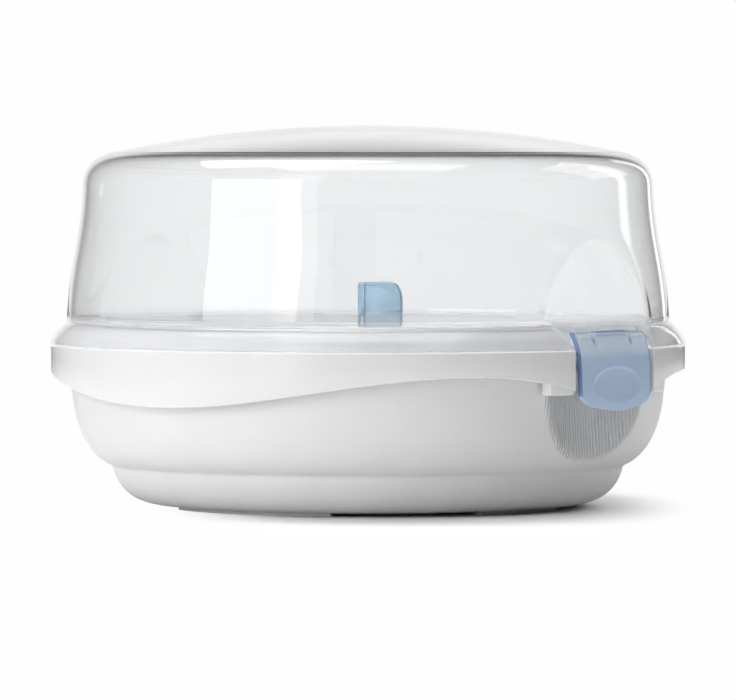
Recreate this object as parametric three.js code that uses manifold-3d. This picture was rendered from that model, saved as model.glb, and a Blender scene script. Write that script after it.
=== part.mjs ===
// A microwave steam steriliser for baby bottles: a stepped bowl with two side grips, a steam tray with a
// lifting handle, a pair of tongs, and a clear lid held down by two hinged clips.
// Millimetres, +Z up. The origin is the middle of the foot ring, on the surface that the bowl stands on.
// The clips face +X and -X, and the side grips face -Y and +Y.
import * as THREE from "three";
import { mergeVertices } from "three/addons/utils/BufferGeometryUtils.js";
import Module from "manifold-3d";

const wasm = await Module();
wasm.setup();

// ---- driving dimensions -------------------------------------------------------------------------------
const RIM_R = 139.9; // outside of the lid's flange and of the side grips
const TOP_Z = 168.2; // crown of the lid
const PART_Z = 72; // height at which the lid's flange meets the side grips
const GAP = 0.3; // air between neighbouring pieces
const ROUND_SEGMENTS = 48;
const SMALLEST_DETAIL = 0.05; // edges shorter than this, left by the cuts, are merged away

const WALL = 2.2; // bowl, side grips and tray
const LID_WALL = 2.0;

const FOOT = { inner: 84, outer: 89, height: 1.6, gripSpan: 60, clipSpan: 36 };
const TIER = { floorZ: 1.5, floorR: 90, creaseR: 112.8, creaseZ: 18.3 }; // lower tier of the bowl
const BOWL = { shoulderR: 130.4, shoulderZ: 49, rimR: 132.4, rimZ: 71 };
const RIM_FLANGE = { outerR: 136, bottomZ: 66.8, topZ: 69 }; // ledge that the grips clip onto

const LID = {
  crownSphere: 545, // radius of the shallow dome
  crownR: 112.5, // where the dome meets the rounded shoulder
  neckR: 125.8,
  neckZ: 142.6,
  footR: 132.9,
  footZ: 82.5,
  creaseR: 136.3, // crease along the sloping flange
  creaseZ: 79,
  lipR: 129.6, // locating lip inside the bowl's rim
  lipWall: 1.6,
  lipBottomZ: 67,
};

// Above and below each clip the wall is scooped by an upright cylinder that stands outside it.
const LID_SCOOP = { depthX: 127.2, radius: 3000, halfWidth: 60, bottomZ: 60, topZ: 150 };
const BOWL_SCOOP = { depthX: 119.4, radius: 80, halfWidth: 36, bottomZ: 5, topZ: 62 };
const RIB = { pitch: 2.0, width: 1.0, proud: 0.7, rootDepth: 0.8, perSide: 15, bottomZ: 18.5 };

const CLIP = {
  halfWidth: 25.8,
  bottomZ: 45.6,
  topZ: 79.4,
  cornerDrop: 8, // how far the rounded bottom edge rises at the clip's sides
  lugY: 12.8,
  slotWidth: 2.3,
  thumbHalfWidth: 16,
  thumbHalfHeight: 7.6,
  thumbZ: 56.8,
  thumbDepth: 0.6,
};
const HINGE = { x: 132.5, z: 76, pinR: 1.25, barrelR: 2.7, pinLength: 38 };
const LUG_THICKNESS = 1.7;
const NOTCH = { halfWidth: 27.2, topHalfWidth: 40 }; // opening in the flange round a clip

const GRIP = {
  gapDegrees: 11.3, // from the clip's axis to the end of a grip
  crestZ: 60.7, // highest point of the wavy lower edge
  lobeZ: 47.3, // lowest point, at the middle of the grip
  waveDegrees: 58,
  endDip: 6.7,
  innerR: 133,
  topZ: PART_Z - GAP,
  steps: 40,
};
const GRIP_BLOCK = { innerX: 132.2, innerY: 28.4, outerY: 40, bottomZ: 52.8 };
const GRIP_HOOK = { angles: [-60, -20, 20, 60], width: 8, innerR: 134, bottomZ: 63.8, topZ: 66.4 };

const TRAY = { outerR: 115.8, plateZ: 27, plateTop: 29, rimBottomZ: 24, seatTop: 31 };
const SEAT = { count: 6, orbit: 79, outerR: 30, innerR: 27.6, sides: 20 };
const VENT = { r: 4.2, perSeat: 5, orbit: 16, centreCount: 6, centreOrbit: 34, sides: 8 };

const HANDLE = {
  x: 7.05, // the handle stands a little towards the +X clip
  thickness: 4.2,
  width: 27,
  bottomZ: 24,
  topZ: 99.2,
  bigCorner: 8,
  smallCorner: 1.5,
  wall: 1.3,
  coreTopZ: 85.5, // the blade is solid above this
};
// Two ridges at the foot of the handle, which keep it from being pulled out of the tray.
const CATCH = { halfY: 5, proud: 1, root: 0.4, bottomZ: 24.8, topZ: 26.6 };
const SOCKET = { wall: 2.2, topZ: 37 };

const TONGS = {
  x: -55,
  bowY: -53,
  bowR: 13,
  armLength: 120,
  splayDegrees: 4,
  thickness: 2.2,
  bottomZ: TRAY.seatTop + 0.4,
  height: 15,
  toothDepth: 2,
  toothWidth: 1.8,
  toothRoot: 0.4, // how far a tooth reaches into its arm
  toothCount: 5,
  toothPitch: 5,
};

// ---- colours ------------------------------------------------------------------------------------------
function plastic(color, roughness, opacity = 1) {
  const transparent = opacity < 1;
  return new THREE.MeshStandardMaterial({ color, roughness, metalness: 0, opacity, transparent });
}
const BOWL_WHITE = plastic(0xf1f2f3, 0.45);
const GRIP_WHITE = plastic(0xf7f8f9, 0.2);
const TRAY_WHITE = plastic(0xeef0f2, 0.5);
const LID_CLEAR = plastic(0xf4f8fa, 0.08, 0.25);
const CLIP_BLUE = plastic(0x8fb0dc, 0.25, 0.85);
const HANDLE_BLUE = plastic(0x5fa0d8, 0.2, 0.8);
const TONGS_WHITE = plastic(0xe8ecef, 0.3);

// ---- solid helpers ------------------------------------------------------------------------------------
// A closed three.js geometry as a manifold-3d solid, with its faces turned outwards.
function solid(geometry) {
  const bare = geometry.index ? geometry.toNonIndexed() : geometry.clone();
  bare.deleteAttribute("normal");
  bare.deleteAttribute("uv");
  const merged = mergeVertices(bare, 1e-4);
  const index = merged.index.array;
  const corners = [];
  for (let i = 0; i < index.length; i += 3) {
    const [a, b, c] = [index[i], index[i + 1], index[i + 2]];
    if (a !== b && b !== c && c !== a) corners.push(a, b, c);
  }
  const make = (triVerts) =>
    new wasm.Manifold(
      new wasm.Mesh({ numProp: 3, vertProperties: merged.attributes.position.array, triVerts }),
    );
  const made = make(new Uint32Array(corners));
  return made.volume() > 0 ? made : make(new Uint32Array(corners.reverse()));
}

// A solid of revolution about Z from points (radius, height) that start and end on the axis, or close.
function revolved(points, segments = ROUND_SEGMENTS) {
  const profile = points.map(([r, z]) => new THREE.Vector2(r, z));
  return solid(new THREE.LatheGeometry(profile, segments).rotateX(Math.PI / 2));
}

const ring = (points) => revolved([...points, points[0]]);

// A flat outline in X and Y, pulled up from bottomZ to topZ.
function upright(shape, bottomZ, topZ) {
  const depth = topZ - bottomZ;
  const extruded = new THREE.ExtrudeGeometry(shape, { depth, bevelEnabled: false, curveSegments: 8 });
  return solid(extruded.translate(0, 0, bottomZ));
}

// A flat outline in Y and Z, pulled along X from startX to endX.
function alongX(shape, startX, endX) {
  const depth = endX - startX;
  const extruded = new THREE.ExtrudeGeometry(shape, { depth, bevelEnabled: false, curveSegments: 8 });
  const axes = new THREE.Matrix4().makeBasis(
    new THREE.Vector3(0, 1, 0),
    new THREE.Vector3(0, 0, 1),
    new THREE.Vector3(1, 0, 0),
  );
  return solid(extruded.applyMatrix4(axes).translate(startX, 0, 0));
}

// A block between two corners.
function block([x0, y0, z0], [x1, y1, z1]) {
  const box = new THREE.BoxGeometry(x1 - x0, y1 - y0, z1 - z0);
  return solid(box.translate((x0 + x1) / 2, (y0 + y1) / 2, (z0 + z1) / 2));
}

// A round bar along Y through (x, z).
function barAlongY(radius, length, x, z, sides = 16) {
  return solid(new THREE.CylinderGeometry(radius, radius, length, sides).translate(x, 0, z));
}

// Points along a Bezier curve, as [radius, height] pairs.
function curve(start, handleA, handleB, end, steps) {
  const v = ([r, z]) => new THREE.Vector2(r, z);
  const bezier = new THREE.CubicBezierCurve(v(start), v(handleA), v(handleB), v(end));
  return bezier.getPoints(steps).map((p) => [p.x, p.y]);
}

// The open profile moved towards its right-hand side by a distance.
function offset(points, distance) {
  return points.map((point, i) => {
    const before = points[Math.max(i - 1, 0)];
    const after = points[Math.min(i + 1, points.length - 1)];
    const [dr, dz] = [after[0] - before[0], after[1] - before[1]];
    const length = Math.hypot(dr, dz);
    return [point[0] + (dz / length) * distance, point[1] - (dr / length) * distance];
  });
}

const joined = (solids) => solids.reduce((sum, next) => sum.add(next));
const turned = (made, degrees) => made.rotate([0, 0, degrees]);

// The room outside an upright scoop on the +X side.
function scoopRoom({ depthX, radius, halfWidth, bottomZ, topZ }) {
  const far = RIM_R + 30;
  const sweep = Math.asin(halfWidth / radius);
  const shape = new THREE.Shape();
  shape.moveTo(far, -halfWidth);
  shape.lineTo(far, halfWidth);
  shape.absarc(depthX + radius, 0, radius, Math.PI - sweep, Math.PI + sweep, false);
  return upright(shape, bottomZ, topZ);
}

// Where a scoop's surface lies at a distance y from the clip's axis.
const scoopX = ({ depthX, radius }, y) => depthX + radius - Math.sqrt(radius ** 2 - y ** 2);

function thinner(scoop, wall) {
  const { depthX, radius, halfWidth } = scoop;
  return { ...scoop, depthX: depthX - wall, radius: radius + wall, halfWidth: halfWidth + wall };
}

// A closed band round the Z axis: one section of [radius, height] points for each angle, in degrees.
function band(angles, sectionAt) {
  const outline = sectionAt(angles[0]).map(([r, z]) => new THREE.Vector2(r, z));
  const clockwise = THREE.ShapeUtils.isClockWise(outline);
  if (clockwise) outline.reverse();
  const rows = angles.map((degrees) => {
    const a = THREE.MathUtils.degToRad(degrees);
    const section = sectionAt(degrees).map(([r, z]) => [r * Math.cos(a), r * Math.sin(a), z]);
    return clockwise ? section.reverse() : section;
  });
  const width = outline.length;
  const last = (rows.length - 1) * width;
  const index = [];
  for (let i = 0; i < last; i += width) {
    for (let j = 0; j < width; j++) {
      const [a, b] = [i + j, i + ((j + 1) % width)];
      index.push(b, a, a + width, b, a + width, b + width);
    }
  }
  for (const [a, b, c] of THREE.ShapeUtils.triangulateShape(outline, [])) {
    index.push(a, b, c, last + a, last + c, last + b);
  }
  const geometry = new THREE.BufferGeometry().setIndex(index);
  return solid(geometry.setAttribute("position", new THREE.Float32BufferAttribute(rows.flat(2), 3)));
}

function steps(from, to, count) {
  return Array.from({ length: count + 1 }, (_, i) => from + ((to - from) * i) / count);
}

const group = new THREE.Group();

function addPiece(name, made, material) {
  const mesh = made.simplify(SMALLEST_DETAIL).getMesh();
  const position = new Float32Array(mesh.numVert * 3);
  for (let i = 0; i < mesh.numVert; i++) {
    position.set(mesh.vertProperties.subarray(i * mesh.numProp, i * mesh.numProp + 3), i * 3);
  }
  const geometry = new THREE.BufferGeometry();
  geometry.setAttribute("position", new THREE.BufferAttribute(position, 3));
  geometry.setIndex(new THREE.BufferAttribute(mesh.triVerts, 1));
  geometry.computeVertexNormals();
  const piece = new THREE.Mesh(geometry, material);
  piece.name = name;
  group.add(piece);
}

// ---- bowl ---------------------------------------------------------------------------------------------
function bowlProfile() {
  const crease = [TIER.creaseR, TIER.creaseZ];
  const lower = curve([TIER.floorR, TIER.floorZ], [105.5, TIER.floorZ], [110.8, 10], crease, 4);
  const shoulder = [BOWL.shoulderR, BOWL.shoulderZ];
  const upper = curve([TIER.creaseR + 0.4, TIER.creaseZ + 0.3], [122.5, 22.5], [128.6, 33], shoulder, 5);
  return [[0, TIER.floorZ], ...lower, ...upper, [BOWL.rimR, RIM_FLANGE.bottomZ]];
}

function scoopRibs(outside) {
  const ribs = steps(-RIB.perSide, RIB.perSide, 2 * RIB.perSide).map((n) => {
    const y = n * RIB.pitch;
    const x = scoopX(BOWL_SCOOP, y);
    const low = [x - RIB.rootDepth, y - RIB.width / 2, RIB.bottomZ];
    return block(low, [x + RIB.proud, y + RIB.width / 2, BOWL_SCOOP.topZ + 0.5]);
  });
  return joined(ribs).intersect(outside);
}

function footArcs() {
  const { inner, outer, height, gripSpan, clipSpan } = FOOT;
  const section = [
    [inner, 0],
    [outer, 0],
    [outer, height],
    [inner, height],
  ];
  const arc = (centre, span) => band(steps(centre - span / 2, centre + span / 2, 12), () => section);
  return joined([arc(0, clipSpan), arc(90, gripSpan), arc(180, clipSpan), arc(270, gripSpan)]);
}

function makeBowl() {
  const profile = bowlProfile();
  const outside = revolved([...profile, [BOWL.rimR, BOWL.rimZ], [0, BOWL.rimZ]]);
  const inner = offset(profile, -WALL);
  const inside = revolved([...inner, [BOWL.rimR - WALL, BOWL.rimZ + 5], [0, BOWL.rimZ + 5]]);
  const { outerR, bottomZ, topZ } = RIM_FLANGE;
  const flange = ring([
    [BOWL.rimR - 1, bottomZ],
    [outerR, bottomZ],
    [outerR, topZ],
    [BOWL.rimR - 1, topZ],
  ]);
  const scoop = scoopRoom(BOWL_SCOOP);
  const innerScoop = scoopRoom({ ...thinner(BOWL_SCOOP, WALL), topZ: BOWL_SCOOP.topZ + WALL });
  const skin = outside.subtract(scoop).subtract(turned(scoop, 180));
  const hollow = inside.subtract(innerScoop).subtract(turned(innerScoop, 180));
  const ribs = scoopRibs(outside);
  return joined([skin.subtract(hollow), flange, ribs, turned(ribs, 180), footArcs()]);
}

// ---- side grips ---------------------------------------------------------------------------------------
// Height of a grip's wavy lower edge, by the angle from the middle of the grip.
function gripEdgeZ(degrees) {
  const away = Math.abs(degrees);
  const { crestZ, lobeZ, waveDegrees, endDip, gapDegrees } = GRIP;
  const lobe = away < waveDegrees ? Math.cos((Math.PI / 2) * (away / waveDegrees)) ** 2 : 0;
  const end = Math.max(0, (away - waveDegrees - 2) / (90 - gapDegrees - waveDegrees - 2));
  return crestZ - (crestZ - lobeZ) * lobe - endDip * end ** 2;
}

// A grip, made facing +X and then turned to its side.
function makeGrip(facingDegrees) {
  const half = 90 - GRIP.gapDegrees;
  const innerR = RIM_R - WALL;
  const shell = band(steps(-half, half, GRIP.steps), (degrees) => {
    const edge = gripEdgeZ(degrees);
    return [
      [RIM_R, GRIP.topZ - 0.5],
      [RIM_R - 0.5, GRIP.topZ],
      [GRIP.innerR, GRIP.topZ],
      [GRIP.innerR, GRIP.topZ - WALL],
      [innerR, GRIP.topZ - WALL],
      [innerR, edge + 0.4],
      [innerR + 0.9, edge],
      [RIM_R - 0.2, edge + 0.4],
      [RIM_R, edge + 1],
    ];
  });
  const hooks = GRIP_HOOK.angles.map((angle) => {
    const low = [GRIP_HOOK.innerR, -GRIP_HOOK.width / 2, GRIP_HOOK.bottomZ];
    return turned(block(low, [innerR + 0.6, GRIP_HOOK.width / 2, GRIP_HOOK.topZ]), angle);
  });
  return turned(joined([shell, ...hooks, ...gripEndBlocks()]), facingDegrees);
}

// The blocks that stiffen both ends of a grip beside the clips, trimmed to the grip's outer face and kept
// clear of the bowl's wall and rim flange.
function gripEndBlocks() {
  const { innerX, innerY, outerY, bottomZ } = GRIP_BLOCK;
  const topZ = GRIP.topZ - WALL + 0.5;
  const outline = ring([
    [BOWL.rimR + GAP, 40],
    [RIM_R - 0.6, 40],
    [RIM_R - 0.6, topZ + 1],
    [BOWL.rimR + GAP, topZ + 1],
  ]);
  const flangeRoom = ring([
    [BOWL.rimR - 1, RIM_FLANGE.bottomZ - GAP],
    [RIM_FLANGE.outerR + GAP, RIM_FLANGE.bottomZ - GAP],
    [RIM_FLANGE.outerR + GAP, RIM_FLANGE.topZ + GAP],
    [BOWL.rimR - 1, RIM_FLANGE.topZ + GAP],
  ]);
  return [-1, 1].map((side) => {
    const y = (d) => side * d;
    const nearY = Math.min(y(innerY), y(outerY));
    const made = block([innerX, nearY, bottomZ], [RIM_R, nearY + outerY - innerY, topZ]);
    return turned(made.intersect(outline).subtract(flangeRoom), -side * 90);
  });
}

// ---- lid ----------------------------------------------------------------------------------------------
function lidProfile() {
  const crownZ = (r) => TOP_Z - LID.crownSphere + Math.sqrt(LID.crownSphere ** 2 - r ** 2);
  const crown = steps(0, LID.crownR, 4).map((r) => [r, crownZ(r)]);
  const neck = [LID.neckR, LID.neckZ];
  const shoulder = curve(crown[crown.length - 1], [119.9, 154.8], [125.4, 150.4], neck, 5);
  const wall = curve(neck, [126.6, 118], [131.9, 108], [LID.footR, LID.footZ], 5);
  return [...crown, ...shoulder.slice(1), ...wall.slice(1)];
}

function hingeLug(y) {
  const shape = new THREE.Shape();
  const [nose, half] = [HINGE.barrelR, HINGE.barrelR - 0.2];
  shape.moveTo(LID_SCOOP.depthX - 0.8, HINGE.z - half);
  shape.lineTo(HINGE.x, HINGE.z - half);
  shape.lineTo(HINGE.x, HINGE.z + half);
  shape.lineTo(LID_SCOOP.depthX - 0.8, HINGE.z + half);
  const plate = new THREE.ExtrudeGeometry(shape, { depth: LUG_THICKNESS, bevelEnabled: false });
  plate.rotateX(Math.PI / 2).translate(0, y + LUG_THICKNESS / 2, 0);
  const eye = barAlongY(nose, LUG_THICKNESS, HINGE.x, HINGE.z).translate([0, y, 0]);
  return solid(plate).add(eye);
}

// The opening that the flange leaves for a clip, with rounded upper corners.
function flangeNotch() {
  const { halfWidth, topHalfWidth } = NOTCH;
  const shape = new THREE.Shape();
  const [lowZ, turnZ, topZ] = [60, PART_Z + 1, LID.footZ + 1];
  shape.moveTo(-halfWidth, lowZ);
  shape.lineTo(halfWidth, lowZ);
  shape.lineTo(halfWidth, turnZ);
  shape.bezierCurveTo(halfWidth + 1, topZ - 3, halfWidth + 6, topZ, topHalfWidth, topZ + 0.5);
  shape.lineTo(-topHalfWidth, topZ + 0.5);
  shape.bezierCurveTo(-halfWidth - 6, topZ, -halfWidth - 1, topZ - 3, -halfWidth, turnZ);
  return alongX(shape, 100, RIM_R + 10).intersect(scoopRoom({ ...LID_SCOOP, bottomZ: 50 }));
}

function makeLid() {
  const profile = lidProfile();
  const outer = [...profile, [LID.lipR, 80], [LID.lipR, LID.lipBottomZ], [0, LID.lipBottomZ]];
  const lipInnerR = LID.lipR - LID.lipWall;
  const inner = [...offset(profile, LID_WALL), [lipInnerR, 79.5], [lipInnerR, 60], [0, 60]];
  inner[0] = [0, TOP_Z - LID_WALL];
  const flange = ring([
    [127, 80.2],
    [131.8, 80.2],
    [134.4, 78],
    [RIM_R - 2.1, PART_Z],
    [RIM_R, PART_Z],
    [LID.creaseR, LID.creaseZ],
    [LID.footR + 0.5, LID.footZ - 0.3],
    [LID.footR - 0.2, LID.footZ + 1.6],
    [127, LID.footZ + 1.6],
  ]);
  const scoop = scoopRoom(LID_SCOOP);
  const innerScoop = scoopRoom({ ...thinner(LID_SCOOP, LID_WALL), bottomZ: 50 });
  const notch = flangeNotch();
  const skin = revolved(outer).subtract(scoop).subtract(turned(scoop, 180));
  const hollow = revolved(inner).subtract(innerScoop).subtract(turned(innerScoop, 180));
  const rim = flange.subtract(notch).subtract(turned(notch, 180));
  const lugs = joined([hingeLug(CLIP.lugY), hingeLug(-CLIP.lugY)]);
  const bores = barAlongY(HINGE.pinR + GAP, 80, HINGE.x, HINGE.z);
  const shell = skin.add(rim).subtract(hollow);
  const hinged = lugs.subtract(bores).subtract(revolved(inner).subtract(innerScoop));
  return joined([shell, hinged, turned(hinged, 180)]);
}

// ---- clips --------------------------------------------------------------------------------------------
function clipOutline() {
  const { halfWidth, bottomZ, topZ, cornerDrop } = CLIP;
  const shape = new THREE.Shape();
  shape.moveTo(-halfWidth, topZ + 1);
  shape.lineTo(-halfWidth, bottomZ + cornerDrop);
  shape.bezierCurveTo(-halfWidth + 3, bottomZ + 2.2, -10, bottomZ, 0, bottomZ);
  shape.bezierCurveTo(10, bottomZ, halfWidth - 3, bottomZ + 2.2, halfWidth, bottomZ + cornerDrop);
  shape.lineTo(halfWidth, topZ + 1);
  return alongX(shape, 120, RIM_R + 10);
}

// The clip on the +X side, shut, with its barrel round the hinge pin.
function makeClip() {
  const section = [
    [131.8, CLIP.topZ],
    [134.2, CLIP.topZ - 0.2],
    [137.2, 74.8],
    [139.2, 70.8],
    [RIM_R, 66],
    [140.6, 47],
    [140.4, 45],
    [138.7, 45],
    [138, 47],
    [137.8, 63],
    [136.4, 64],
    [136.4, 66],
    [137.8, 66.2],
    [137.3, 69.8],
    [135.4, 73],
    [133, 74.4],
  ];
  const plate = band(steps(-12, 12, 8), () => section).intersect(clipOutline());
  const barrel = barAlongY(HINGE.barrelR, 2 * CLIP.halfWidth, HINGE.x, HINGE.z);
  const slots = [-1, 1].map((side) => {
    const y = side * CLIP.lugY;
    const low = [125, y - CLIP.slotWidth / 2, HINGE.z - HINGE.barrelR - 0.7];
    return block(low, [137.4, y + CLIP.slotWidth / 2, 85]);
  });
  const bore = barAlongY(HINGE.pinR + GAP, 80, HINGE.x, HINGE.z);
  const thumb = new THREE.Shape();
  thumb.absellipse(0, CLIP.thumbZ, CLIP.thumbHalfWidth, CLIP.thumbHalfHeight, 0, 2 * Math.PI);
  const dishR = 140.25 - CLIP.thumbDepth;
  const dish = alongX(thumb, 120, 150).subtract(revolved([[0, 40], [dishR, 40], [dishR, 80], [0, 80]]));
  return plate.add(barrel).subtract(joined([...slots, bore, dish]));
}

const makePin = () => barAlongY(HINGE.pinR, HINGE.pinLength, HINGE.x, HINGE.z);

// ---- steam tray and lifting handle --------------------------------------------------------------------
function discAt(x, y, radius, bottomZ, topZ, sides) {
  const disc = new THREE.CylinderGeometry(radius, radius, topZ - bottomZ, sides).rotateX(Math.PI / 2);
  return solid(disc.translate(x, y, (bottomZ + topZ) / 2));
}

function roundAbout(count, orbit, phase = 0) {
  return Array.from({ length: count }, (_, i) => {
    const a = (2 * Math.PI * (i + phase)) / count;
    return [orbit * Math.cos(a), orbit * Math.sin(a)];
  });
}

function handleSlot(grow, bottomZ, topZ) {
  const [halfX, halfY] = [HANDLE.thickness / 2 + grow, HANDLE.width / 2 + grow];
  return block([HANDLE.x - halfX, -halfY, bottomZ], [HANDLE.x + halfX, halfY, topZ]);
}

function makeTray() {
  const { outerR, plateZ, plateTop, rimBottomZ, seatTop } = TRAY;
  const plate = revolved([
    [0, plateZ],
    [outerR - WALL, plateZ],
    [outerR - WALL, rimBottomZ],
    [outerR, rimBottomZ],
    [outerR, plateTop - 0.6],
    [outerR - 0.6, plateTop],
    [0, plateTop],
  ]);
  const centres = roundAbout(SEAT.count, SEAT.orbit, 0.5);
  const seats = centres.map(([x, y]) => {
    const outer = discAt(x, y, SEAT.outerR, plateTop - 0.5, seatTop, SEAT.sides);
    return outer.subtract(discAt(x, y, SEAT.innerR, plateTop - 1, seatTop + 1, SEAT.sides));
  });
  const seatVents = centres.flatMap(([x, y]) =>
    [[0, 0], ...roundAbout(VENT.perSeat, VENT.orbit)].map(([dx, dy]) => [x + dx, y + dy]),
  );
  const centreVents = roundAbout(VENT.centreCount, VENT.centreOrbit, 0.5);
  const vents = [...seatVents, ...centreVents].map(([x, y]) =>
    discAt(x, y, VENT.r, plateZ - 1, plateTop + 0.6, VENT.sides),
  );
  const socket = handleSlot(GAP + SOCKET.wall, plateTop - 0.5, SOCKET.topZ);
  return joined([plate, ...seats, socket])
    .subtract(joined(vents))
    .subtract(handleSlot(GAP, 20, SOCKET.topZ + 1));
}

function makeHandle() {
  const { x, thickness, width, bottomZ, topZ, bigCorner, smallCorner, wall, coreTopZ } = HANDLE;
  const half = width / 2;
  const shape = new THREE.Shape();
  shape.moveTo(-half, bottomZ);
  shape.lineTo(half, bottomZ);
  shape.lineTo(half, topZ - bigCorner);
  shape.absarc(half - bigCorner, topZ - bigCorner, bigCorner, 0, Math.PI / 2, false);
  shape.lineTo(-half + smallCorner, topZ);
  shape.absarc(-half + smallCorner, topZ - smallCorner, smallCorner, Math.PI / 2, Math.PI, false);
  const blade = alongX(shape, x - thickness / 2, x + thickness / 2);
  const core = handleSlot(-wall, bottomZ - 1, coreTopZ);
  const catches = [-1, 1].map((side) => {
    const nearX = x + side * (thickness / 2 - CATCH.root);
    const farX = x + side * (thickness / 2 + CATCH.proud);
    const low = [Math.min(nearX, farX), -CATCH.halfY, CATCH.bottomZ];
    return block(low, [Math.max(nearX, farX), CATCH.halfY, CATCH.topZ]);
  });
  return blade.subtract(core).add(joined(catches));
}

// ---- tongs --------------------------------------------------------------------------------------------
// A strip that follows a line of [x, y] points, with its full thickness.
function strip(points) {
  const half = TONGS.thickness / 2;
  const left = offset(points, -half);
  const right = offset(points, half).reverse();
  const shape = new THREE.Shape([...left, ...right].map(([x, y]) => new THREE.Vector2(x, y)));
  return upright(shape, TONGS.bottomZ, TONGS.bottomZ + TONGS.height);
}

// One arm from the end of the bow to its tip. side is -1 or 1, and the teeth face the other arm.
function armLine(side, startY) {
  const lean = Math.tan(THREE.MathUtils.degToRad(TONGS.splayDegrees));
  return steps(startY, TONGS.armLength, 6).map((y) => [side * (TONGS.bowR + lean * y), y]);
}

function teeth(side) {
  const lean = Math.tan(THREE.MathUtils.degToRad(TONGS.splayDegrees));
  return steps(1, TONGS.toothCount, TONGS.toothCount - 1).map((n) => {
    const y = TONGS.armLength - n * TONGS.toothPitch;
    const face = TONGS.bowR + lean * y - TONGS.thickness / 2 + TONGS.toothRoot;
    const [nearX, farX] = [side * face, side * (face - TONGS.toothDepth)];
    const halfY = TONGS.toothWidth / 2;
    const low = [Math.min(nearX, farX), y - halfY, TONGS.bottomZ];
    return block(low, [Math.max(nearX, farX), y + halfY, TONGS.bottomZ + TONGS.height]);
  });
}

const placedTongs = (made) => made.translate([TONGS.x, TONGS.bowY, 0]);

function makeFixedArm() {
  const bow = steps(0, 180, 16).map((degrees) => {
    const a = THREE.MathUtils.degToRad(-degrees);
    return [TONGS.bowR * Math.cos(a), TONGS.bowR * Math.sin(a)];
  });
  const arm = armLine(-1, 0).slice(1);
  return placedTongs(joined([strip([...bow, ...arm]), ...teeth(-1)]));
}

const makeMovingArm = () => placedTongs(joined([strip(armLine(1, GAP)), ...teeth(1)]));

// ---- assembly -----------------------------------------------------------------------------------------
const clip = makeClip();
const pin = makePin();

addPiece("base_bowl", makeBowl(), BOWL_WHITE);
addPiece("near_side_grip", makeGrip(-90), GRIP_WHITE);
addPiece("far_side_grip", makeGrip(90), GRIP_WHITE);
addPiece("lid", makeLid(), LID_CLEAR);
addPiece("right_clip", clip, CLIP_BLUE);
addPiece("left_clip", turned(clip, 180), CLIP_BLUE);
addPiece("right_clip_pin", pin, CLIP_BLUE);
addPiece("left_clip_pin", turned(pin, 180), CLIP_BLUE);
addPiece("steam_tray", makeTray(), TRAY_WHITE);
addPiece("lifting_handle", makeHandle(), HANDLE_BLUE);
addPiece("tongs_fixed_arm", makeFixedArm(), TONGS_WHITE);
addPiece("tongs_moving_arm", makeMovingArm(), TONGS_WHITE);

export default group;
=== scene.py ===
"""A round microwave steam steriliser for baby bottles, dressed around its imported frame.

Sizes in the classes below are in millimetres, and become metres where a mesh is made. The clips face
right and left (+X and -X), and the side grips face the near and far sides (-Y and +Y).
"""

from __future__ import annotations

import logging
import math
from collections.abc import Callable, Iterable, Sequence
from dataclasses import dataclass, field, replace
from enum import Enum

import bmesh
import bpy
from mathutils import Matrix, Vector

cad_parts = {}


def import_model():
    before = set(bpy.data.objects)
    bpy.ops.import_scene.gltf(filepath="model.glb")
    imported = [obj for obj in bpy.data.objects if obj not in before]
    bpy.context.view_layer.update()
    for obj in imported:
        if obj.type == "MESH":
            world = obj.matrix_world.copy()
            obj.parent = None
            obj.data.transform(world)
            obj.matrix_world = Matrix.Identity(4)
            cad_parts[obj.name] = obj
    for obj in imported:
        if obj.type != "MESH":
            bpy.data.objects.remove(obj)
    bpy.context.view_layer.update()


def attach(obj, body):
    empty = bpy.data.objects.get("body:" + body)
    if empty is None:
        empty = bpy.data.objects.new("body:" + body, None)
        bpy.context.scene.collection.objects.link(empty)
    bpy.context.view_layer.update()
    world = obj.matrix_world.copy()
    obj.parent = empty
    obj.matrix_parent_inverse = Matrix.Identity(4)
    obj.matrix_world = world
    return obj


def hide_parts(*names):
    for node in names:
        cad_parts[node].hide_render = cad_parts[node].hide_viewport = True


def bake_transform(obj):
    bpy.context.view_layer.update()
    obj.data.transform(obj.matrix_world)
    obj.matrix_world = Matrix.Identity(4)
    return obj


MM = 0.001
log = logging.getLogger("steriliser")

Point2 = tuple[float, float]
Colour = tuple[float, float, float]


class Facing(Enum):
    """Which way a repeated piece faces, in degrees about the upright axis."""

    RIGHT = 0.0
    FAR = 90.0
    LEFT = 180.0
    NEAR = -90.0


class Skin(Enum):
    """Which side of a moulded wall a point of its outline lies on."""

    OUTER = "outer"
    INNER = "inner"


# ---- curves and easing --------------------------------------------------------------------------------
def steps(start: float, end: float, count: int) -> list[float]:
    """Numbers that run evenly from start to end.

    Args:
        start: The first number.
        end: The last number.
        count: How many equal steps lie between them.

    Returns:
        count + 1 numbers.
    """
    return [start + (end - start) * i / count for i in range(count + 1)]


def bezier(a: Point2, b: Point2, c: Point2, d: Point2, count: int) -> list[Point2]:
    """Points along a cubic curve.

    Args:
        a: The first end.
        b: The handle that belongs to a.
        c: The handle that belongs to d.
        d: The last end.
        count: How many steps the curve is cut into.

    Returns:
        count + 1 points, both ends included.
    """
    points = []
    for t in steps(0.0, 1.0, count):
        weights = ((1 - t) ** 3, 3 * t * (1 - t) ** 2, 3 * t * t * (1 - t), t**3)
        points.append(tuple(sum(w * p[k] for w, p in zip(weights, (a, b, c, d))) for k in (0, 1)))
    return points


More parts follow.
